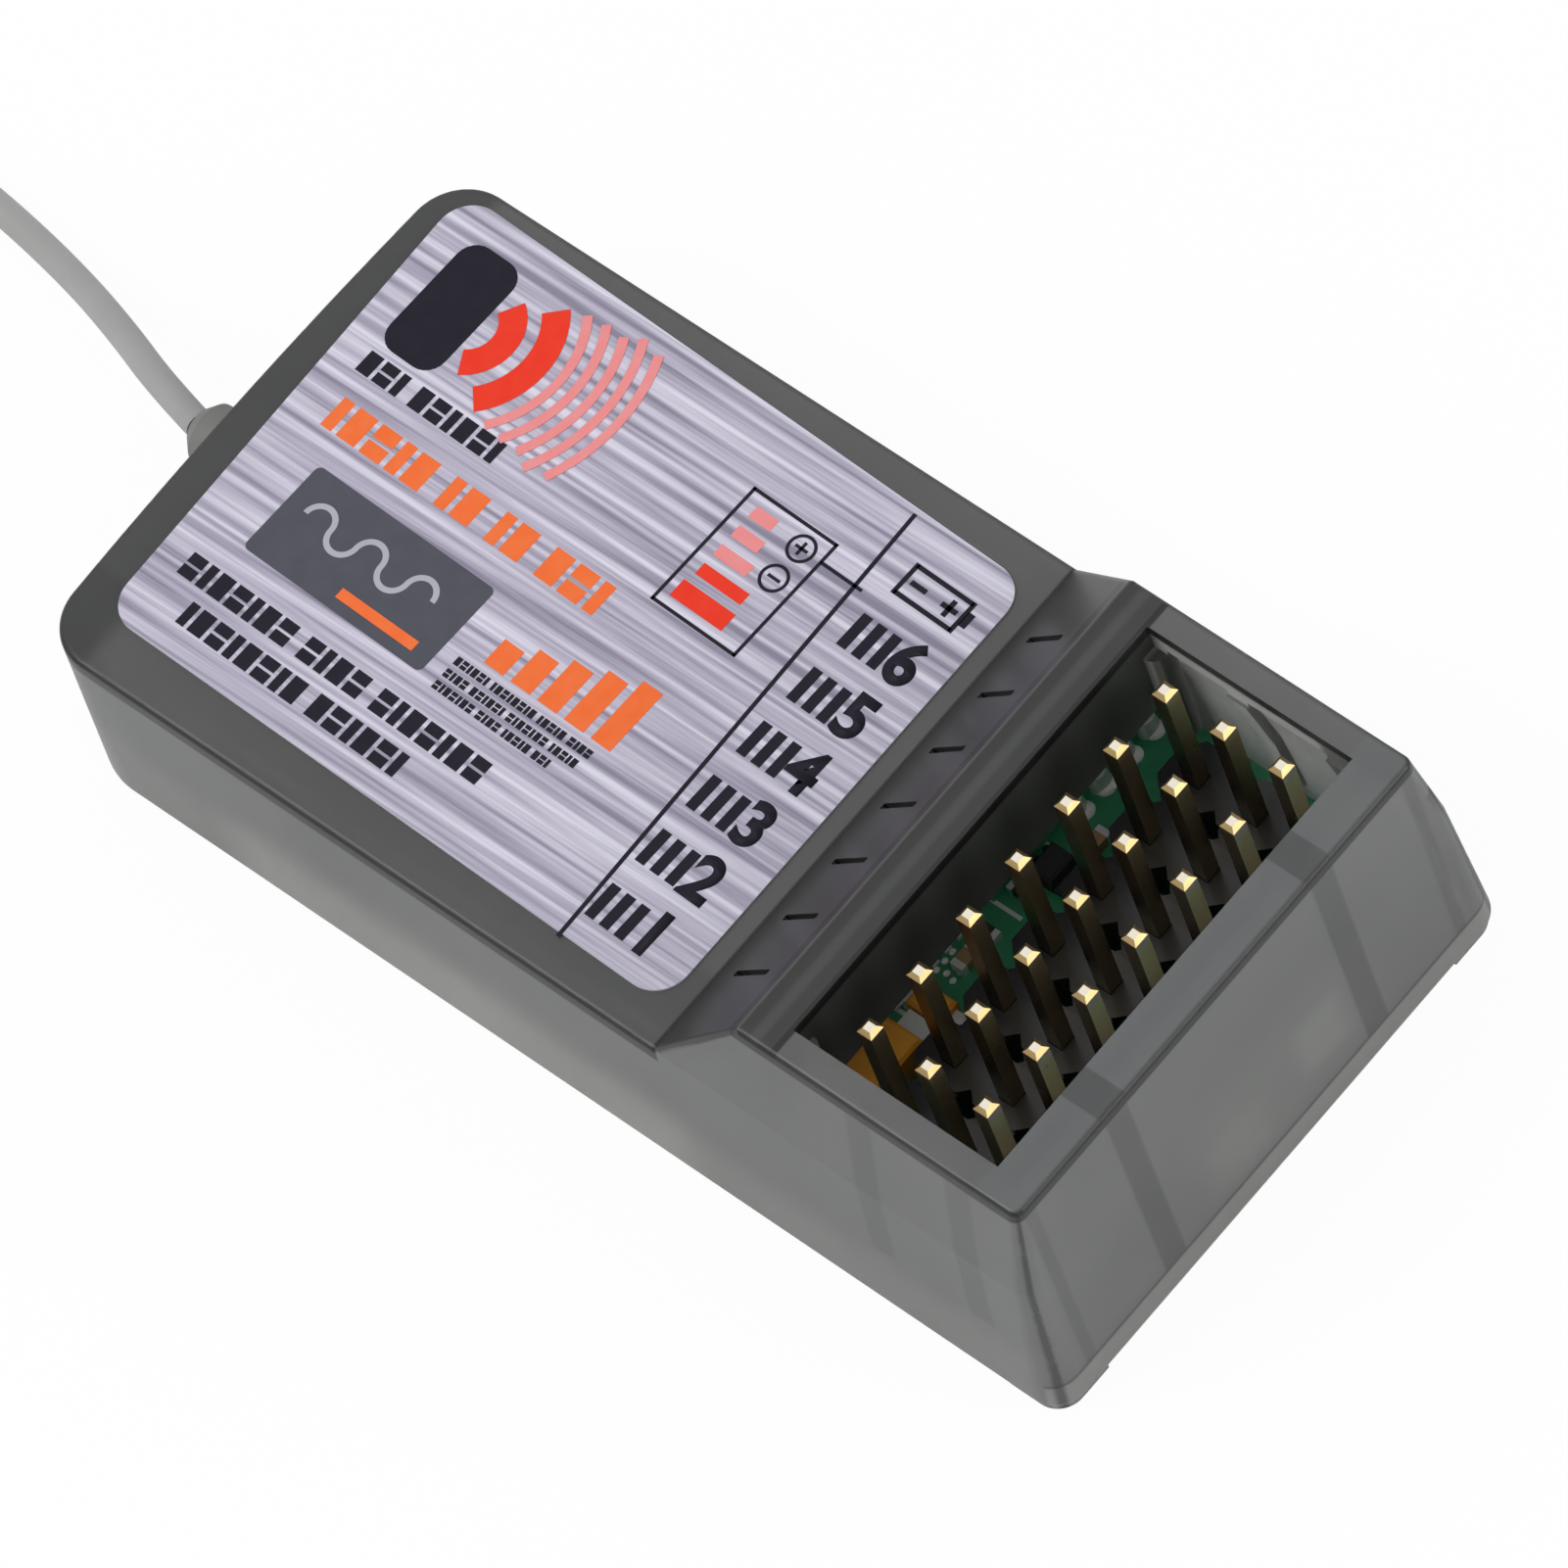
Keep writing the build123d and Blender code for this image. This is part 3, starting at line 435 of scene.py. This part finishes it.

# Solder joints on the main board in front of the radio board: four broad ones, and two groups of fine ones
# at the feet of small chips. Each is a low dome of solder, its near white colour a painted glint.
broad_joint = 0.36
broad_line = 10.2
broad_joint_places = (9.05, 7.85, 6.45, 5.3)
fine_joint = 0.12
fine_rows = (0, 0.36, 0.72)
fine_columns = (-0.42, 0, 0.42)
fine_groups = ((9.95, -1.75), (10.2, 3.1))
fine_shift = 0.1
joint_stretch = (1, 1.15, 0.7)
joint_places = [(broad_line, y, broad_joint) for y in broad_joint_places]
for x, y in fine_groups:
    for number, row in enumerate(fine_rows):
        for column in fine_columns:
            joint_places.append((x + row, y + column + fine_shift * (number % 2), fine_joint))
joints = []
for x, y, radius in joint_places:
    bpy.ops.object.select_all(action="DESELECT")
    bpy.ops.mesh.primitive_uv_sphere_add(
        segments=20, ring_count=10, radius=radius * mm, location=(x * mm, y * mm, board_top)
    )
    joint = bpy.context.object
    joint.scale = joint_stretch
    bpy.ops.object.transform_apply(location=False, rotation=False, scale=True)
    bpy.ops.object.shade_smooth()
    joints.append(joint)
joints = joined(joints, "board_joints")
# Near white colour that paints in the glint of the solder.
joint_glint_white = (0.97, 0.98, 0.97)
joint_grey = (0.88, 0.89, 0.89)
glint_painted_solder = finish("joint_solder", joint_glint_white, joint_grey, 3000, rough=0.3, spread=0.1, bump=0.0)
glint_painted_solder.node_tree.nodes["Principled BSDF"].inputs["Metallic"].default_value = 0.05
add_piece(joints, glint_painted_solder)

# Header strips: three black moulded strips side by side, one for each row of pins. They are
# pushed down on the board and hold the pins upright.
strip_black = (0.012, 0.012, 0.013)
strip_cloud = (0.03, 0.03, 0.03)
black = finish("header_plastic", strip_black, strip_cloud, 900, rough=0.2, spread=0.1, bump=0.004)
dress(black, "header_strip_signal", "header_strip_power", "header_strip_ground")

# Pins: square posts of brass plated with gold, pressed through the strips. The gold carries a painted
# highlight on the crown of each tip, painted shade on the cut facets round it and on the side faces, and
# painted light on the end faces of the last row, and it is darker towards the foot of each post.
gilt = finish("gilt", (0.88, 0.76, 0.50), (0.66, 0.54, 0.33), 1500, rough=0.24, bump=0.0)
post_foot = 7.0 * mm
post_neck = 12.3 * mm
last_row_start = 17.7 * mm
tree = gilt.node_tree
shader = tree.nodes["Principled BSDF"]
shader.inputs["Metallic"].default_value = 1
place = tree.nodes.new("ShaderNodeTexCoord")
spot = tree.nodes.new("ShaderNodeSeparateXYZ")
tree.links.new(place.outputs["Object"], spot.inputs["Vector"])
# The gold grows darker towards the foot of each post.
height = tree.nodes.new("ShaderNodeMapRange")
height.inputs["From Min"].default_value = post_foot
height.inputs["From Max"].default_value = post_neck
tree.links.new(spot.outputs["Z"], height.inputs["Value"])
post_darkening = tree.nodes.new("ShaderNodeValToRGB")
post_darkening.color_ramp.elements[0].color = (0.33, 0.30, 0.23, 1)
post_darkening.color_ramp.elements[1].color = (1.0, 1.0, 1.0, 1)
post_darkening.color_ramp.elements.new(0.9).color = (0.72, 0.68, 0.60, 1)
tree.links.new(height.outputs["Result"], post_darkening.inputs["Fac"])
post_darkened = tree.nodes.new("ShaderNodeMix")
post_darkened.data_type = "RGBA"
post_darkened.blend_type = "MULTIPLY"
post_darkened.inputs["Factor"].default_value = 1
tree.links.new(shader.inputs["Base Color"].links[0].from_socket, post_darkened.inputs["A"])
tree.links.new(post_darkening.outputs["Color"], post_darkened.inputs["B"])
shape = tree.nodes.new("ShaderNodeNewGeometry")
smooth_side = tree.nodes.new("ShaderNodeSeparateXYZ")
flat_side = tree.nodes.new("ShaderNodeSeparateXYZ")
tree.links.new(shape.outputs["Normal"], smooth_side.inputs["Vector"])
tree.links.new(shape.outputs["True Normal"], flat_side.inputs["Vector"])
# Painted highlight on the crown, painted shade on the cut facets and the side faces, painted light on the
# last row's end faces.
crown = tree.nodes.new("ShaderNodeMapRange")
crown.inputs["From Min"].default_value = 0.75
crown.inputs["From Max"].default_value = 0.95
tree.links.new(flat_side.outputs["Z"], crown.inputs["Value"])
tip = maths(tree, "GREATER_THAN", flat_side.outputs["Z"], 0.3)
facet = maths(tree, "SUBTRACT", tip, crown.outputs["Result"])
across = maths(tree, "ABSOLUTE", smooth_side.outputs["Y"])
side_face = maths(tree, "GREATER_THAN", across, 0.9)
last_row = maths(tree, "GREATER_THAN", spot.outputs["X"], last_row_start)
end_face = maths(tree, "GREATER_THAN", smooth_side.outputs["X"], 0.9)
lit_face = maths(tree, "MULTIPLY", last_row, end_face)
gold = tinted(tree, side_face, post_darkened.outputs["Result"], (0.40, 0.36, 0.30))
gold = tinted(tree, facet, gold, (0.55, 0.46, 0.33))
gold = tinted(tree, crown.outputs["Result"], gold, (1.0, 0.93, 0.77), "MIX")
gold = tinted(tree, lit_face, gold, (2.2, 2.2, 2.3))
tree.links.new(gold, shader.inputs["Base Color"])
dress(gilt, *[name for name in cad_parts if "_pin_" in name])

# Aerial: a thin lead in a light grey sheath, soldered to the radio board and led out through a
# soft grey boot in the rear wall. Past the boot it bends down and lies on the table.
sheath = finish("lead_sheath", (0.36, 0.36, 0.35), (0.28, 0.28, 0.27), 500, rough=0.4)
rubber = finish("boot_rubber", (0.21, 0.205, 0.195), (0.15, 0.148, 0.14), 700, rough=0.6)
dress(rubber, "antenna_boot")
dress(sheath, "antenna_tail")
lead_diameter = 1.1 * mm
lead_route = [
    (-24.927, -0.70, 4.57),
    (-27.4, -0.12, 4.22),
    (-30.6, 1.05, 2.88),
    (-34.4, 2.26, 1.25),
    (-38.6, 3.08, 0.6),
    (-43.6, 3.55, 0.57),
    (-49.4, 3.45, 0.57),
    (-55.0, 2.55, 0.57),
]
route = [(x * mm, y * mm, z * mm) for x, y, z in lead_route]
line = bpy.data.curves.new("aerial_lead", "CURVE")
line.dimensions = "3D"
line.bevel_depth = lead_diameter / 2
line.bevel_resolution = 7
line.use_fill_caps = True
line.resolution_u = 16
spline = line.splines.new("NURBS")
spline.points.add(len(route) - 1)
for point, place in zip(spline.points, route):
    point.co = (*place, 1)
spline.order_u = 3
spline.use_endpoint_u = True
lead = bpy.data.objects.new("aerial_lead", line)
bpy.context.scene.collection.objects.link(lead)
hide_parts("antenna_lead")
add_piece(lead, sheath)

# Label: thin silver foil with brushed streaks along the case, lacquered, with round corners.
# It was stuck on by hand, so it is a little crooked, and everything printed on it turns with it.
label_turn = radians(-1.75)
label_middle = (-8.015 * mm, 0.4 * mm)
label_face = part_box("label_foil")[1].z
cut_edge = label_face - 0.004 * mm
streaks_per_metre = (55, 3200, 1)
foil = bpy.data.materials.new("brushed_foil")
foil.use_nodes = True
tree = foil.node_tree
shader = tree.nodes["Principled BSDF"]
shader.inputs["Metallic"].default_value = 0.25
shader.inputs["Roughness"].default_value = 0.42
place = tree.nodes.new("ShaderNodeTexCoord")
turned = tree.nodes.new("ShaderNodeMapping")
turned.inputs["Rotation"].default_value = (0, 0, -label_turn)
turned.inputs["Scale"].default_value = streaks_per_metre
tree.links.new(place.outputs["Object"], turned.inputs["Vector"])
streaks = tree.nodes.new("ShaderNodeTexNoise")
streaks.inputs["Scale"].default_value = 1
streaks.inputs["Detail"].default_value = 5
tree.links.new(turned.outputs["Vector"], streaks.inputs["Vector"])
silver = tree.nodes.new("ShaderNodeValToRGB")
silver.color_ramp.elements[0].position = 0.34
silver.color_ramp.elements[0].color = (0.25, 0.23, 0.31, 1)
silver.color_ramp.elements[1].position = 0.66
silver.color_ramp.elements[1].color = (0.72, 0.69, 0.80, 1)
silver.color_ramp.elements.new(0.48).color = (0.45, 0.42, 0.52, 1)
tree.links.new(streaks.outputs["Fac"], silver.inputs["Fac"])
height = tree.nodes.new("ShaderNodeSeparateXYZ")
tree.links.new(place.outputs["Object"], height.inputs["Vector"])
edge = maths(tree, "LESS_THAN", height.outputs["Z"], cut_edge)
edged = tinted(tree, edge, silver.outputs["Color"], (0.80, 0.80, 0.82), "MIX")
tree.links.new(edged, shader.inputs["Base Color"])
brushing = tree.nodes.new("ShaderNodeBump")
brushing.inputs["Strength"].default_value = 0.15
brushing.inputs["Distance"].default_value = 0.02 * mm
tree.links.new(streaks.outputs["Fac"], brushing.inputs["Height"])
tree.links.new(brushing.outputs["Normal"], shader.inputs["Normal"])
dress(foil, "label_foil")

# Print on the label: flat areas of ink, each laid on the foil as a film a hundredth of a
# millimetre thick. First a transmitter sign, a black panel with red waves that fade to pink.
ink_thickness = 0.012 * mm


def ink(name, colour, clouded, gloss=0.2):
    """A printing ink with a little mottle and a low gloss."""
    material = finish(name, colour, clouded, 1500, rough=0.5, bump=0.0)
    material.node_tree.nodes["Principled BSDF"].inputs["Specular IOR Level"].default_value = gloss
    return material


def lay_on_label(pieces, name, ink, layer=0):
    """Join flat pieces drawn about the label's middle and stick them on the foil as one ink film."""
    printed = joined(pieces, name)
    bpy.ops.object.mode_set(mode="EDIT")
    bpy.ops.mesh.select_mode(type="FACE")
    bpy.ops.mesh.select_all(action="DESELECT")
    bpy.ops.object.mode_set(mode="OBJECT")
    for face in printed.data.polygons:
        face.select = face.normal.z < 0
    bpy.ops.object.mode_set(mode="EDIT")
    bpy.ops.mesh.flip_normals()
    bpy.ops.object.mode_set(mode="OBJECT")
    thicken(printed, ink_thickness)
    printed.location = (*label_middle, label_face + layer * ink_thickness)
    printed.rotation_euler = (0, 0, label_turn)
    bpy.ops.object.transform_apply(location=True, rotation=True, scale=True)
    add_piece(printed, ink)


def bar(x, y, length, width, corner=0):
    """A flat printed bar about a place on the label, in millimetres, with round corners if asked."""
    bpy.ops.object.select_all(action="DESELECT")
    bpy.ops.mesh.primitive_plane_add(size=1, location=(x * mm, y * mm, 0))
    piece = bpy.context.object
    piece.scale = (length * mm, width * mm, 1)
    if corner:
        bpy.ops.object.transform_apply(location=False, rotation=False, scale=True)
        bpy.ops.object.mode_set(mode="EDIT")
        bpy.ops.mesh.select_all(action="SELECT")
        bpy.ops.mesh.bevel(offset=corner * mm, segments=6, affect="VERTICES")
        bpy.ops.object.mode_set(mode="OBJECT")
    return piece


def ring(x, y, radius, width, start=0, sweep=360, sides=72):
    """A printed ring about a place on the label, or an arc of it from a start, in degrees."""
    outside = (radius + width / 2) * mm
    inside = (radius - width / 2) * mm
    bpy.ops.object.select_all(action="DESELECT")
    bpy.ops.mesh.primitive_circle_add(vertices=sides, radius=outside, location=(0, 0, 0))
    piece = bpy.context.object
    bpy.ops.object.mode_set(mode="EDIT")
    bpy.ops.mesh.select_mode(type="EDGE")
    bpy.ops.mesh.select_all(action="SELECT")
    bpy.ops.mesh.extrude_edges_move()
    bpy.ops.transform.resize(value=(inside / outside, inside / outside, 1), center_override=(0, 0, 0))
    bpy.ops.mesh.select_mode(type="FACE")
    bpy.ops.mesh.select_all(action="DESELECT")
    bpy.ops.object.mode_set(mode="OBJECT")
    for face in piece.data.polygons:
        face.select = (degrees(atan2(face.center.y, face.center.x)) - start) % 360 > sweep
    bpy.ops.object.mode_set(mode="EDIT")
    bpy.ops.mesh.delete(type="FACE")
    bpy.ops.object.mode_set(mode="OBJECT")
    piece.location = (x * mm, y * mm, 0)
    return piece


black_ink = ink("black_ink", (0.006, 0.005, 0.012), (0.02, 0.018, 0.032))
red_ink = ink("red_ink", (0.80, 0.025, 0.008), (0.86, 0.07, 0.03))
pink_ink = ink("pink_ink", (0.82, 0.22, 0.21), (0.78, 0.38, 0.40))
wave_middle = (-9.9, 5.9)
lay_on_label([bar(-10.9, 6.0, 2.6, 5.0, corner=0.8)], "transmitter_panel", black_ink)
waves = [ring(*wave_middle, 1.5, 1.0, -58, 116), ring(*wave_middle, 3.0, 1.0, -46, 92)]
lay_on_label(waves, "transmitter_waves", red_ink, layer=1)
waves = []
for number in range(5):
    waves.append(ring(*wave_middle, 4.1 + 0.7 * number, 0.36, -40 + 4 * number, 80 - 8 * number))
lay_on_label(waves, "transmitter_far_waves", pink_ink, layer=1)

# Rows of print that stand for words: one in black under the sign, one in orange across the
# label, and two in black along its near edge. They are plain blocks of ink, some of them split.
orange_ink = ink("orange_ink", (0.86, 0.13, 0.02), (0.88, 0.24, 0.08))
broad_block = 0.66
split_block = 0.72
narrow_block = 0.38
split_half = 0.44
split_offset = 0.28
block_gap = 0.18
word_gap = 0.42


def word_row(x, y, height, counts):
    """Blocks of print in a row from a place on the label, in groups of the given counts."""
    blocks = []
    for count in counts:
        for number in range(count):
            share = (broad_block, split_block, narrow_block)[(number + count) % 3]
            width = share * height
            middle = x + width / 2
            if share == split_block:
                for offset in (split_offset, -split_offset):
                    blocks.append(bar(middle, y + offset * height, width, split_half * height))
            else:
                blocks.append(bar(middle, y, width, height))
            x += width + block_gap * height
        x += word_gap * height
    return blocks


lay_on_label(word_row(-12.0, 2.7, 0.9, (3, 6)), "sign_row", black_ink)
lay_on_label(word_row(-11.5, 0.6, 1.3, (5, 2, 2, 3)), "broad_row", orange_ink)
lay_on_label(word_row(-11.6, -6.75, 0.95, (7, 4, 7)), "edge_row_1", black_ink)
lay_on_label(word_row(-10.3, -8.2, 0.95, (8, 6)), "edge_row_2", black_ink)

# Slate badge with a pale radio wave across it, and orange bars that rise like a signal meter
# beside it, over three rows of fine print.
slate_ink = ink("slate_ink", (0.045, 0.048, 0.065), (0.085, 0.085, 0.11), gloss=0.5)
pale_ink = ink("pale_ink", (0.36, 0.36, 0.41), (0.50, 0.49, 0.55), gloss=0.5)
wave_radius = 0.6
lay_on_label([bar(-6.2, -3.2, 8.4, 3.9, corner=0.25)], "slate_badge", slate_ink)
wave = []
for number in range(5):
    wave.append(ring(-8.9 + 2 * wave_radius * number, -2.9, wave_radius, 0.22, 180 * (number % 2), 180))
lay_on_label(wave, "badge_wave", pale_ink, layer=1)
lay_on_label([bar(-4.6, -4.5, 3.6, 0.42)], "badge_underline", orange_ink, layer=1)
meter = [bar(1.25 * number, -3.0 + 0.2 * number, 0.9, 1.1 + 0.4 * number) for number in range(5)]
lay_on_label(meter, "signal_meter", orange_ink)
fine_print = []
for y, counts in ((-4.05, (6, 8, 5, 4)), (-4.6, (4, 6, 7, 5)), (-5.15, (7, 4, 5, 3))):
    fine_print += word_row(-1.3, y, 0.34, counts)
lay_on_label(fine_print, "fine_rows", black_ink)

# Power panel: a fine black frame round a red battery gauge, and the two poles as rings with a
# plus and a minus, with a line from it to the battery's row.
frame_line = 0.13
frame_length = 3.9
frame_height = 5.33
plus_place = (5.5, 6.1)
minus_place = (5.5, 4.7)
pole_radius = 0.5
sign_line = 0.12
sign_length = 0.55
panel = [bar(4.5, 6.9, frame_length, frame_line), bar(4.5, 1.7, frame_length, frame_line)]
panel += [bar(2.6, 4.3, frame_line, frame_height), bar(6.4, 4.3, frame_line, frame_height)]
panel += [ring(*plus_place, pole_radius, sign_line), bar(*plus_place, sign_length, sign_line)]
panel.append(bar(*plus_place, sign_line, sign_length))
panel += [ring(*minus_place, pole_radius, sign_line), bar(*minus_place, sign_length, sign_line)]
panel.append(bar(7.35, 6.1, 1.9, frame_line))
lay_on_label(panel, "power_panel", black_ink)
lay_on_label([bar(4.2, 2.5, 2.4, 0.75), bar(4.2, 3.5, 2.1, 0.5)], "power_gauge", red_ink)
gauge = [bar(3.9, 4.4, 1.5, 0.5), bar(3.75, 5.3, 1.2, 0.5), bar(3.65, 6.2, 1.0, 0.5)]
lay_on_label(gauge, "power_gauge_top", pink_ink)

# Port column: a rule across the label, and a plain number for each port with its three pins
# drawn beside it. The last port takes the battery, drawn as a cell with its two poles.
first_port = -7.9
pitch = 2.54
rule_line = 0.16
rule_length = 19.2
rule_turn = radians(3)
digit_column = 11.4
digit_height = 2.4 * mm
digit_stroke = 0.09 * mm
pin_column = 9.15
pin_step = 0.68
pin_line = 0.42
pin_length = 1.45
cell_line = 0.18
port_marks = [bar(8.3, -0.2, rule_line, rule_length)]
port_marks[0].rotation_euler = (0, 0, rule_turn)
for number in range(6):
    y = first_port + pitch * number
    bpy.ops.object.select_all(action="DESELECT")
    bpy.ops.object.text_add(location=(digit_column * mm, y * mm, 0))
    digit = bpy.context.object
    digit.data.body = str(number + 1)
    digit.data.size = digit_height
    digit.data.offset = digit_stroke
    digit.data.align_x = "CENTER"
    digit.data.align_y = "CENTER"
    bpy.ops.object.convert(target="MESH")
    port_marks.append(bpy.context.object)
    for column in range(3):
        port_marks.append(bar(pin_column + pin_step * column, y, pin_line, pin_length))
y = first_port + pitch * 6
port_marks += [bar(10.5, y + 0.6, 2.6, cell_line), bar(10.5, y - 0.6, 2.6, cell_line)]
port_marks += [bar(9.2, y, cell_line, 1.38), bar(11.8, y, cell_line, 1.38), bar(12.0, y, 0.3, 0.6)]
port_marks += [bar(9.8, y, 0.7, 0.2), bar(11.2, y, 0.7, 0.2), bar(11.2, y, 0.2, 0.7)]
lay_on_label(port_marks, "port_marks", black_ink)
